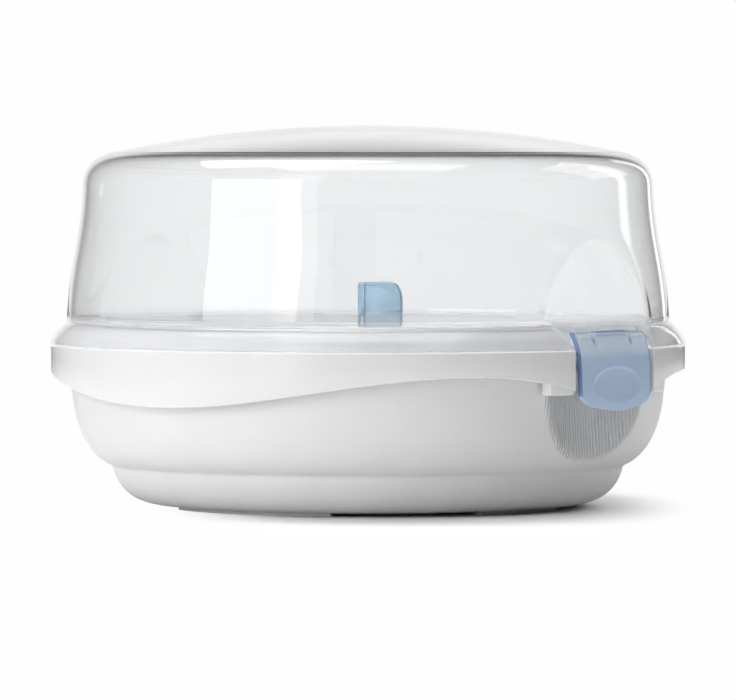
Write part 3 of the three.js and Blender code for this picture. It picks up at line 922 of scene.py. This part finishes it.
# ---- the lid ------------------------------------------------------------------------------------------
@dataclass
class Lid:
    """The clear dome, flattened above each clip, with a sloping flange notched for the clips."""

    crown_z: float = 168.2
    crown_sphere: float = 545.0
    crown_r: float = 112.5
    neck: Point2 = (125.8, 142.6)
    foot: Point2 = (132.9, 82.5)
    flange_crease: Point2 = (136.3, 79.0)
    flange_r: float = 139.9
    flange_z: float = 72.0
    lip_r: float = 129.6
    lip_bottom: float = 67.0
    lip_wall: float = 1.6
    wall: float = 2.0
    flat_x: float = 127.2
    flat_reach: float = 25.0  # degrees from the clip's axis within which the wall is flattened
    flat_top: float = 140.0
    flat_blend: float = 0.7
    notch_half: float = 27.2
    notch_top_half: float = 40.0
    lug_y: float = 12.8
    lug_thickness: float = 1.7
    hinge: Point2 = (132.5, 76.0)
    lug_r: float = 2.7

    def line(self) -> list[Point2]:
        """The outside of the dome, from its crown to the foot of its wall."""
        def height(r: float) -> float:
            """How high the crown's shallow sphere is at a radius."""
            return self.crown_z - self.crown_sphere + math.sqrt(self.crown_sphere**2 - r**2)

        crown = [(r, height(r)) for r in steps(0.0, self.crown_r, 14)]
        shoulder = bezier(crown[-1], (119.9, 154.8), (125.4, 150.4), self.neck, 18)
        wall = bezier(self.neck, (126.6, 118.0), (131.9, 108.0), self.foot, 34)
        return [*crown, *shoulder[1:], *wall[1:]]

    def outline(self) -> list[Spot]:
        """The whole lid in section, from the crown's outside round the flange and lip to its inside."""
        outside = self.line()
        inside = offset(outside, self.wall)
        foot_r, foot_z = self.foot
        start, handle = (foot_r + 0.3, foot_z - 0.6), (foot_r + 1.6, foot_z - 1.4)
        slope = bezier(start, handle, (135.4, 80.2), self.flange_crease, 5)
        edge = (self.flange_r, self.flange_z + 0.5)
        lower = bezier(self.flange_crease, (137.4, 77.9), (139.2, 75.2), edge, 6)
        under = [
            (self.flange_r - 0.4, self.flange_z), (self.flange_r - 2.0, self.flange_z),
            (137.1, 73.4), (136.0, 75.6), (134.4, 77.9), (132.2, 79.8), (130.6, 80.2),
        ]
        flange = [*slope, *lower[1:], *under]
        tucks = steps(foot_z - 0.4, 80.3, len(flange) - 1)
        lip_in = self.lip_r - self.lip_wall
        lip = [
            (self.lip_r, 79.8), (self.lip_r, 74.0), (self.lip_r, self.lip_bottom + 0.6),
            (self.lip_r - 0.5, self.lip_bottom), (lip_in + 0.5, self.lip_bottom),
        ]
        lip_inner = [(lip_in, self.lip_bottom + 0.6), (lip_in, 74.0), (lip_in + 0.2, 79.5)]
        spots = [Spot(*p) for p in outside]
        spots += [Spot(*p, tuck=t) for p, t in zip(flange, tucks)]
        spots += [Spot(*p) for p in lip]
        spots += [Spot(*p, Skin.INNER) for p in [*lip_inner, *reversed(inside[1:])]]
        return [*spots, Spot(0.0, self.crown_z - self.wall, Skin.INNER)]

    def notch(self, y: float, z: float) -> float:
        """How far a point of the flange is inside the notch.

        Args:
            y: Its distance from the clip's axis.
            z: Its height.

        Returns:
            1 inside, 0 outside, and between them on the notch's rounded side.
        """
        rise = min(max((z - self.flange_z - 1) / (self.foot[1] - self.flange_z), 0.0), 1.0)
        half = self.notch_half + (self.notch_top_half - self.notch_half) * (1 - math.sqrt(1 - rise**2))
        return ease(half + 0.7, half - 0.7, y)

    def reshape(self, spot: Spot, angle: float) -> Spot:
        """Flattens the wall above each clip and opens the flange for the clip.

        Args:
            spot: A point of the outline.
            angle: Where it stands, in radians from the right clip's axis.

        Returns:
            The point in its final place.
        """
        aside = (angle + math.pi / 2) % math.pi - math.pi / 2
        if abs(aside) > math.radians(self.flat_reach) or spot.z > self.flat_top:
            return spot
        flat = self.flat_x - (self.wall if spot.skin is Skin.INNER else 0.0)
        r = soft_min(spot.r, flat / math.cos(aside), self.flat_blend)
        if spot.tuck is None:
            return replace(spot, r=r)
        share = self.notch(self.flat_x * math.tan(abs(aside)), spot.z)
        return replace(spot, r=spot.r + (r - spot.r) * share, z=spot.z + (spot.tuck - spot.z) * share)

    def build_lugs(self, facing: Facing) -> bpy.types.Object:
        """The two lugs that hold a clip's pin."""
        x, z = self.hinge
        outline = [(self.flat_x - 0.6, z - self.lug_r + 0.2), (x, z - self.lug_r)]
        nose = steps(-1.4, 1.4, 12)
        outline += [(x + self.lug_r * math.cos(a), z + self.lug_r * math.sin(a)) for a in nose]
        outline += [(x, z + self.lug_r), (self.flat_x - 0.6, z + self.lug_r - 0.2)]
        half = self.lug_thickness / 2
        lugs = [prism("lug", outline, y - half, y + half, "Y") for y in (-self.lug_y, self.lug_y)]
        return turned(gathered("lugs", [bevelled(lug, 0.2, 60.0) for lug in lugs]), facing.value)

    def build(self, dresser: Dresser) -> None:
        """Makes the lid and hangs it on its own body."""
        low = math.degrees(math.atan2(self.notch_half - 1.5, self.flat_x))
        high = math.degrees(math.atan2(self.notch_top_half + 1.5, self.flat_x))
        fine = [(a + s * (low if s > 0 else high), a + s * (high if s > 0 else low), 0.16)
                for a in (0.0, 180.0) for s in (-1, 1)]
        fine = [(lo % 360.0, hi % 360.0, step) for lo, hi, step in fine]
        lid = TurnedShell(self.outline(), self.reshape, 0.9, fine).build("lid")
        dresser.dress(lid, CLEAR_LID, 50.0)
        dresser.hang(lid, "lid", "lid")
        lugs = gathered("lid_hinge_lugs", [self.build_lugs(f) for f in (Facing.RIGHT, Facing.LEFT)])
        dresser.dress(lugs, CLEAR_LID)
        dresser.hang(lugs, "lid")


# ---- the clips ----------------------------------------------------------------------------------------
@dataclass
class Clip:
    """A blue clip with a sloping top, an oval thumb dish and a rounded lower edge.

    face is how far out the face is at each height, from its upright foot to its sloping top.
    """

    half_width: float = 24.5
    bottom: float = 45.6
    top: float = 79.4
    corner_rise: float = 8.0
    thickness: float = 2.2
    bulge_r: float = 420.0
    lug_y: float = 12.8
    slot_width: float = 2.3
    slot_bottom: float = 73.0
    middle_rise: float = 0.5
    dish_half: Point2 = (16.4, 7.7)
    dish_z: float = 56.8
    dish_depth: float = 1.0
    rim_proud: float = 0.1
    hinge: Point2 = (132.5, 76.0)
    barrel_r: float = 2.7
    pin_r: float = 1.25
    pin_length: float = 38.0
    barrel_inset: float = 2.6  # from the clip's side to the barrel's end
    face: tuple[Point2, ...] = (
        (138.6, 44.0), (138.8, 50.0), (138.7, 58.0), (138.3, 66.0),
        (137.8, 70.6), (136.4, 74.6), (133.8, 79.4),
    )

    def face_x(self, z: float) -> float:
        """How far out the clip's face is at a height, at the clip's middle."""
        for (x0, z0), (x1, z1) in zip(self.face, self.face[1:]):
            if z <= z1:
                return x0 + (x1 - x0) * (z - z0) / (z1 - z0)
        return self.face[-1][0]

    def foot_z(self, y: float) -> float:
        """The height of the rounded lower edge at a distance from the clip's middle."""
        share = min(abs(y) / self.half_width, 1.0)
        return self.bottom + self.corner_rise * (1 - math.sqrt(max(1 - share**2.1, 0.0)))

    def dish(self, y: float, z: float) -> float:
        """How far the thumb dish and its rim move the face outwards."""
        across, up = self.dish_half
        rho = math.hypot(y / across, (z - self.dish_z) / up)
        bowl = -self.dish_depth * ease(1.02, 0.88, rho) * (1.0 - 0.5 * rho**2)
        return bowl + self.rim_proud * ease(1.22, 1.04, rho) * ease(0.94, 1.03, rho)

    def build_plate(self) -> bpy.types.Object:
        """The plate with its dish, before the slots are cut."""
        def smooth_x(z: float) -> float:
            """The face's place, averaged over a short height so that its bends are round."""
            return sum(self.face_x(z + d) for d in (-1.6, -0.8, 0.0, 0.8, 1.6)) / 5

        front, back = [], []
        for t in steps(0.0, 1.0, 84):
            front_row, back_row = [], []
            for y in steps(-self.half_width, self.half_width, 112):
                z = self.foot_z(y) + (self.top - self.foot_z(y)) * t
                x = smooth_x(z) - y * y / (2 * self.bulge_r)
                front_row.append((x + self.dish(y, z), y, z))
                back_row.append((x - self.thickness, y, z))
            front.append(front_row)
            back.append(back_row)
        return bevelled(grid_plate("plate", front, back), 0.6, 60.0)

    def build(self, dresser: Dresser, facing: Facing, side: str) -> None:
        """Makes one clip with its pin.

        Args:
            dresser: Gives them their finish.
            facing: Which way the clip faces.
            side: right or left, for the names.
        """
        x, z = self.hinge
        end = self.half_width - self.barrel_inset
        barrel = prism("barrel", circle(self.hinge, self.barrel_r), -end, end, "Y")
        rise = self.half_width / 2 - 1.5
        peak = self.top + self.middle_rise
        crest = rounded([(132.2, 78.6), (134.9, 78.2), (134.6, peak), (132.6, peak)], (0, 0, 0.3, 0.3), 3)
        clip = combined(self.build_plate(), [barrel, prism("crest", crest, -rise, rise, "Y")], "UNION")
        half = self.slot_width / 2
        slots = []
        for y in (-self.lug_y, self.lug_y):
            low = self.slot_bottom
            corners = [(y - half, low), (y + half, low), (y + half, 85.0), (y - half, 85.0)]
            outline = rounded(corners, (0.9, 0.9, 0, 0), 4)
            slots.append(prism("slot", outline, 120.0, 150.0, "X"))
        reach = self.pin_length / 2 + 0.5
        bore = prism("bore", circle(self.hinge, self.pin_r + 0.3, 24), -reach, reach, "Y")
        turned(combined(clip, [*slots, bore], "DIFFERENCE"), facing.value)
        clip.name = f"{side}_clip_piece"
        dresser.dress(clip, BLUE_CLIP, 40.0)
        dresser.hang(clip, f"{side}_clip", f"{side}_clip")
        pin_end = self.pin_length / 2
        pin = prism(f"{side}_pin", circle(self.hinge, self.pin_r, 24), -pin_end, pin_end, "Y")
        turned(bevelled(pin, 0.3, 60.0), facing.value)
        dresser.dress(pin, BLUE_CLIP)
        dresser.hang(pin, "lid", f"{side}_clip_pin")


# ---- the steam tray and its handle --------------------------------------------------------------------
@dataclass
class SteamTray:
    """The white tray, with a ring for each bottle, steam holes and a socket for the handle."""

    outer_r: float = 115.8
    plate: Point2 = (27.0, 29.0)
    rim_bottom: float = 24.0
    wall: float = 2.2
    seat_top: float = 31.0
    seats: int = 6
    seat_orbit: float = 79.0
    seat_r: Point2 = (27.6, 30.0)
    vent_r: float = 4.2
    vents_per_seat: int = 5
    vent_orbit: float = 16.0
    centre_vents: int = 6
    centre_orbit: float = 34.0
    socket_wall: float = 2.2
    socket_top: float = 37.0
    handle_x: float = 7.05
    handle_size: Point2 = (4.2, 27.0)
    gap: float = 0.3

    def around(self, count: int, orbit: float, phase: float = 0.0) -> list[Point2]:
        """Points spread evenly round the middle."""
        turns = [2 * math.pi * (i + phase) / count for i in range(count)]
        return [(orbit * math.cos(a), orbit * math.sin(a)) for a in turns]

    def socket(self, grow: float, low: float, high: float) -> bpy.types.Object:
        """An upright block round the handle, larger than it by grow."""
        half_x, half_y = (s / 2 + grow for s in self.handle_size)
        corners = [(-half_x, -half_y), (half_x, -half_y), (half_x, half_y), (-half_x, half_y)]
        placed = [(x + self.handle_x, y) for x, y in corners]
        return prism("socket", rounded(placed, [max(grow, 0.2)] * 4, 4), low, high)

    def build(self, dresser: Dresser) -> None:
        """Makes the tray and hangs it on its own body."""
        low, high = self.plate
        out, rim_in, foot = self.outer_r, self.outer_r - self.wall, self.rim_bottom
        section = [
            (0.0, low), (30.0, low), (60.0, low), (90.0, low), (rim_in - 0.5, low), (rim_in, low - 0.5),
            (rim_in, foot + 0.4), (rim_in + 0.4, foot), (out - 0.4, foot), (out, foot + 0.4),
            (out, high - 0.8), (out - 0.3, high - 0.2), (out - 0.8, high),
            (90.0, high), (60.0, high), (30.0, high), (0.0, high),
        ]
        tray = TurnedShell([Spot(*p) for p in section], turn_step=2.5).build("steam_tray_piece")
        centres = self.around(self.seats, self.seat_orbit, 0.5)
        inner, outer = self.seat_r
        top = self.seat_top
        ring = [
            (inner, high - 0.6), (inner, top - 0.5), (inner + 0.5, top),
            (outer - 0.5, top), (outer, top - 0.5), (outer, high - 0.6),
        ]
        for x, y in centres:
            seat = TurnedShell([Spot(*p) for p in ring], turn_step=7.5).build("seat")
            seat.data.transform(Matrix.Translation((x * MM, y * MM, 0)))
            combined(tray, [seat], "UNION")
        combined(tray, [self.socket(self.gap + self.socket_wall, high - 0.5, self.socket_top)], "UNION")
        spots = [(x + dx, y + dy) for x, y in centres
                 for dx, dy in [(0.0, 0.0), *self.around(self.vents_per_seat, self.vent_orbit)]]
        spots += self.around(self.centre_vents, self.centre_orbit, 0.5)
        vents = [prism("vent", circle(p, self.vent_r, 28), low - 1, high + 1) for p in spots]
        way_through = self.socket(self.gap, low - 5, self.socket_top + 1)
        combined(tray, [gathered("vents", vents), way_through], "DIFFERENCE")
        bevelled(tray, 0.25, 60.0)
        dresser.dress(tray, SATIN_TRAY, 40.0)
        dresser.hang(tray, "tray", "steam_tray")


@dataclass
class LiftingHandle:
    """The clear blue blade that the tray is lifted by, cored out from below."""

    x: float = 7.05
    thickness: float = 4.2
    half_width: float = 13.5
    bottom: float = 24.0
    top: float = 99.2
    corners: Point2 = (1.8, 9.5)
    wall: float = 1.3
    core_top: Point2 = (84.4, 86.6)
    catch_half: float = 5.0

    def build(self, dresser: Dresser) -> None:
        """Makes the handle and hangs it on the tray."""
        half, thick = self.half_width, self.thickness / 2
        small, large = self.corners
        outline = rounded(
            [(-half, self.bottom), (half, self.bottom), (half, self.top), (-half, self.top)],
            (0, 0, large, small), 10,
        )
        blade = prism("lifting_handle_piece", outline, self.x - thick, self.x + thick, "X")
        bevelled(blade, 0.55, 50.0)
        inner = half - self.wall
        near, far = self.core_top
        core = [(-inner, self.bottom - 1), (inner, self.bottom - 1), (inner, far), (-inner, near)]
        core_x = thick - self.wall
        combined(blade, [prism("core", core, self.x - core_x, self.x + core_x, "X")], "DIFFERENCE")
        catches = []
        for side in (-1, 1):
            ends = sorted((self.x + side * (thick - 0.4), self.x + side * (thick + 1)))
            profile = [(ends[0], self.bottom + 0.8), (ends[1], self.bottom + 0.8),
                       (ends[1], self.bottom + 2.6), (ends[0], self.bottom + 2.6)]
            catches.append(prism("catch", profile, -self.catch_half, self.catch_half, "Y"))
        combined(blade, catches, "UNION")
        dresser.dress(blade, BLUE_HANDLE, 40.0)
        dresser.hang(blade, "tray", "lifting_handle")


# ---- the tongs ----------------------------------------------------------------------------------------
@dataclass
class Tongs:
    """One bent strip with two arms, toothed near the tips."""

    centre: Point2 = (-55.0, -53.0)
    bow_r: float = 13.0
    length: float = 120.0
    splay: float = 4.0
    thickness: float = 2.2
    bottom: float = 31.4
    height: float = 15.0
    teeth: int = 5
    tooth_pitch: float = 5.0
    tooth_depth: float = 2.0
    tooth_half: float = 0.9
    bend_z: float = 40.0

    def arm(self, side: int) -> list[Point2]:
        """The middle line of one arm, from the bow to its tip."""
        lean = math.tan(math.radians(self.splay))
        return [(side * (self.bow_r + lean * y), y) for y in steps(0.0, self.length, 40)]

    def strip(self) -> bpy.types.Object:
        """The bent strip without its teeth."""
        bow = [(self.bow_r * math.cos(a), -self.bow_r * math.sin(a)) for a in steps(0.0, math.pi, 40)]
        line = [*reversed(self.arm(1)[1:]), *bow, *self.arm(-1)[1:]]
        half, top = self.thickness / 2, self.bottom + self.height
        corners = [(-half, self.bottom), (half, self.bottom), (half, top), (-half, top)]
        section = rounded(corners, [0.8] * 4, 4)
        sides = [offset(line, s) for s, _ in section]
        vertices = []
        for i in range(len(line)):
            vertices += [(*sides[j][i], z) for j, (_, z) in enumerate(section)]
        rows, count = len(section), len(line)
        faces = [
            [i * rows + j, i * rows + (j + 1) % rows, (i + 1) * rows + (j + 1) % rows, (i + 1) * rows + j]
            for i in range(count - 1) for j in range(rows)
        ]
        faces += [list(range(rows)), list(range((count - 1) * rows, count * rows))]
        return made("strip", vertices, faces)

    def tooth(self, side: int, number: int) -> bpy.types.Object:
        """One gripping rib, with a rounded front, on the inside of an arm."""
        y = self.length - number * self.tooth_pitch
        lean = math.tan(math.radians(self.splay))
        face = self.bow_r + lean * y - self.thickness / 2 + 0.4
        tip = face - self.tooth_depth
        root, front = side * face, side * tip
        low, high = y - self.tooth_half, y + self.tooth_half
        corners = [(root, low), (root, high), (front, high), (front, low)]
        outline = rounded(corners, (0, 0, 0.8, 0.8), 4)
        return prism("tooth", outline, self.bottom + 0.4, self.bottom + self.height - 0.4)

    def build(self, dresser: Dresser) -> None:
        """Makes the tongs as one piece in place of the frame's two arms, which it hides."""
        teeth = [self.tooth(side, n) for side in (-1, 1) for n in range(1, self.teeth + 1)]
        tongs = gathered("tongs_piece", [self.strip(), *teeth])
        tongs.data.transform(Matrix.Translation((self.centre[0] * MM, self.centre[1] * MM, 0)))
        dresser.dress(tongs, MILKY_TONGS, 40.0)
        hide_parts("tongs_fixed_arm", "tongs_moving_arm")
        x, y = (c * MM for c in self.centre)
        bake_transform(tongs)
        log.info("%s bends between tongs and tongs_arm", tongs.name)


# ---- the studio ---------------------------------------------------------------------------------------
@dataclass(frozen=True)
class Softbox:
    """A rectangular lamp that looks at a point. turn is in degrees round the object from the camera.

    A lamp that isn't mirrored lights the object and doesn't show in its gloss.
    """

    name: str
    turn: float
    height: float
    distance: float
    size: Point2
    watts: float
    aim: float = 0.08
    mirrored: bool = True


@dataclass
class Studio:
    """A plain pale floor, soft lamps and the camera, in metres.

    Beyond an oval round the object the camera sees the floor as plain white. floor_fade is where that
    starts and ends, shadow_shift how far the oval lies to the camera's right, and shadow_squeeze how
    many times narrower than deep it is.
    """

    turn: float = 39.4
    distance: float = 2.96
    height: float = 0.155
    aim_height: float = 0.069
    lens: float = 327.8
    sensor: float = 36.0
    floor_half: float = 8.0
    floor_seen: float = 1.0
    floor_bounce: float = 0.9
    floor_fade: Point2 = (0.155, 0.3)
    shadow_shift: float = 0.027
    shadow_squeeze: float = 2.5
    white: float = 0.99
    room_left: float = 0.24
    room_right: float = 0.05
    boxes: tuple[Softbox, ...] = (
        Softbox("low key", -45.0, 0.36, 1.6, (1.1, 0.8), 10.4, mirrored=False),
        Softbox("key strip", -27.5, 0.72, 1.6, (0.48, 1.3), 1.35),
        Softbox("top box", 0.0, 1.7, 0.5, (1.5, 1.0), 8.5),
        Softbox("back top box", 242.0, 1.5, 0.5, (0.9, 0.9), 13.0, mirrored=False),
        Softbox("right fill", 116.0, 0.9, 1.3, (0.9, 0.9), 5.0, mirrored=False),
        Softbox("right strip", 121.0, 0.62, 1.5, (0.2, 0.95), 0.8),
        Softbox("rim strip", 153.0, 0.45, 1.5, (0.12, 0.8), 0.4),
    )

    def point(self, turn: float, distance: float, height: float) -> Vector:
        """A point round the object, turned from the camera's side."""
        a = math.radians(self.turn + turn)
        return Vector((math.sin(a) * distance, -math.cos(a) * distance, height))

    def aimed(self, thing: bpy.types.Object, place: Vector, target: Vector) -> None:
        """Puts a lamp or camera in the scene and turns it to a point."""
        bpy.context.scene.collection.objects.link(thing)
        thing.location = place
        thing.rotation_mode = "QUATERNION"
        thing.rotation_quaternion = (target - place).to_track_quat("-Z", "Y")

    def build_camera(self) -> None:
        """Makes the camera and gives it to the scene."""
        data = bpy.data.cameras.new("camera")
        data.lens = self.lens
        data.sensor_width = self.sensor
        data.clip_end = 50.0
        camera = bpy.data.objects.new("camera", data)
        self.aimed(camera, self.point(0.0, self.distance, self.height), Vector((0, 0, self.aim_height)))
        bpy.context.scene.camera = camera

    def build_boxes(self) -> None:
        """Makes the lamps."""
        for box in self.boxes:
            data = bpy.data.lights.new(box.name, "AREA")
            data.shape = "RECTANGLE"
            data.size, data.size_y = box.size
            data.energy = box.watts
            lamp = bpy.data.objects.new(box.name, data)
            lamp.visible_glossy = box.mirrored
            self.aimed(lamp, self.point(box.turn, box.distance, box.height), Vector((0, 0, box.aim)))

    def build_floor(self) -> None:
        """Makes the floor, which sends less light back onto the object than it shows."""
        half = self.floor_half / MM
        corners = [(-half, -half, 0), (half, -half, 0), (half, half, 0), (-half, half, 0)]
        floor = made("floor", corners, [(0, 1, 2, 3)])
        material, bench = bench_for("pale floor")
        near = bench.node("ShaderNodeBsdfDiffuse")
        path = bench.node("ShaderNodeLightPath")
        seen = bench.node("ShaderNodeMath", operation="MAXIMUM")
        bench.link(path.outputs["Is Camera Ray"], seen.inputs[0])
        bench.link(path.outputs["Is Transmission Ray"], seen.inputs[1])
        pale = bench.blend(seen.outputs[0], (self.floor_bounce,) * 3, (self.floor_seen,) * 3)
        bench.link(pale, near.inputs["Color"])
        oval = bench.node("ShaderNodeCombineXYZ")
        across, deep = (0, 90.0, self.shadow_shift, self.shadow_squeeze), (1, 0.0, 0.0, 1.0)
        for at, turn, shift, stretch in (across, deep):
            along = bench.node("ShaderNodeVectorMath", operation="DOT_PRODUCT")
            bench.link(bench.place(), along.inputs[0])
            along.inputs[1].default_value = self.point(turn, 1.0, 0.0)
            scaled = bench.node("ShaderNodeMath", operation="MULTIPLY_ADD")
            bench.link(along.outputs["Value"], scaled.inputs[0])
            scaled.inputs[1].default_value = stretch
            scaled.inputs[2].default_value = -shift * stretch
            bench.link(scaled.outputs[0], oval.inputs[at])
        length = bench.node("ShaderNodeVectorMath", operation="LENGTH")
        bench.link(oval.outputs["Vector"], length.inputs[0])
        away = bench.ranged(length.outputs["Value"], self.floor_fade, (0.0, 1.0))
        share = bench.node("ShaderNodeMath", operation="MULTIPLY")
        bench.link(away, share.inputs[0])
        bench.link(seen.outputs[0], share.inputs[1])
        far = bench.node("ShaderNodeEmission")
        far.inputs["Color"].default_value = (*[self.white] * 3, 1.0)
        both = bench.node("ShaderNodeMixShader")
        bench.link(share.outputs[0], both.inputs["Fac"])
        bench.link(near.outputs["BSDF"], both.inputs[1])
        bench.link(far.outputs["Emission"], both.inputs[2])
        bench.link(both.outputs["Shader"], bench.node("ShaderNodeOutputMaterial").inputs["Surface"])
        floor.data.materials.append(material)

    def build_world(self) -> None:
        """Makes the surroundings: a white backdrop, and a dimmer room that lights the object."""
        world = bpy.data.worlds.new("studio")
        world.use_nodes = True
        bpy.context.scene.world = world
        bench = NodeBench(world.node_tree)
        look = bench.node("ShaderNodeTexCoord").outputs["Generated"]

        def towards(turn: float) -> bpy.types.NodeSocket:
            """How far a direction points towards a turn round the object, from -1 to 1."""
            facing = bench.node("ShaderNodeVectorMath", operation="DOT_PRODUCT")
            bench.link(look, facing.inputs[0])
            facing.inputs[1].default_value = self.point(turn, 1.0, 0.0)
            return facing.outputs["Value"]

        sides = bench.blend(bench.ranged(towards(90.0), (-0.8, 0.6), (0, 1)),
                            (self.room_left,) * 3, (self.room_right,) * 3)
        room = bench.node("ShaderNodeMix", data_type="RGBA")
        bench.link(bench.ranged(towards(180.0), (0.9, 0.98), (0, 1)), room.inputs["Factor"])
        bench.link(sides, room.inputs["A"])
        room.inputs["B"].default_value = (1.0, 1.0, 1.0, 1.0)
        path = bench.node("ShaderNodeLightPath")
        seen = bench.node("ShaderNodeMix", data_type="RGBA")
        bench.link(path.outputs["Is Camera Ray"], seen.inputs["Factor"])
        bench.link(room.outputs["Result"], seen.inputs["A"])
        seen.inputs["B"].default_value = (*[self.white] * 3, 1.0)
        glow = bench.node("ShaderNodeBackground")
        bench.link(seen.outputs["Result"], glow.inputs["Color"])
        bench.link(glow.outputs["Background"], bench.node("ShaderNodeOutputWorld").inputs["Surface"])

    def build(self) -> None:
        """Makes the whole studio."""
        self.build_camera()
        self.build_boxes()
        self.build_floor()
        self.build_world()
        bpy.context.scene.view_settings.view_transform = "Standard"
        log.info("studio with %d lamps", len(self.boxes))


def main() -> None:
    """Builds the studio and every piece around the frame."""
    logging.basicConfig(level=logging.INFO, format="%(name)s: %(message)s")
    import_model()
    Studio().build()
    dresser = Dresser()
    Bowl().build(dresser)
    SideGrip().build(dresser, Facing.NEAR, "near_grip", "near_side_grip")
    SideGrip().build(dresser, Facing.FAR, "far_grip", "far_side_grip")
    SteamTray().build(dresser)
    LiftingHandle().build(dresser)
    Tongs().build(dresser)
    Clip().build(dresser, Facing.RIGHT, "right")
    Clip().build(dresser, Facing.LEFT, "left")
    Lid().build(dresser)


if __name__ == "__main__":
    main()
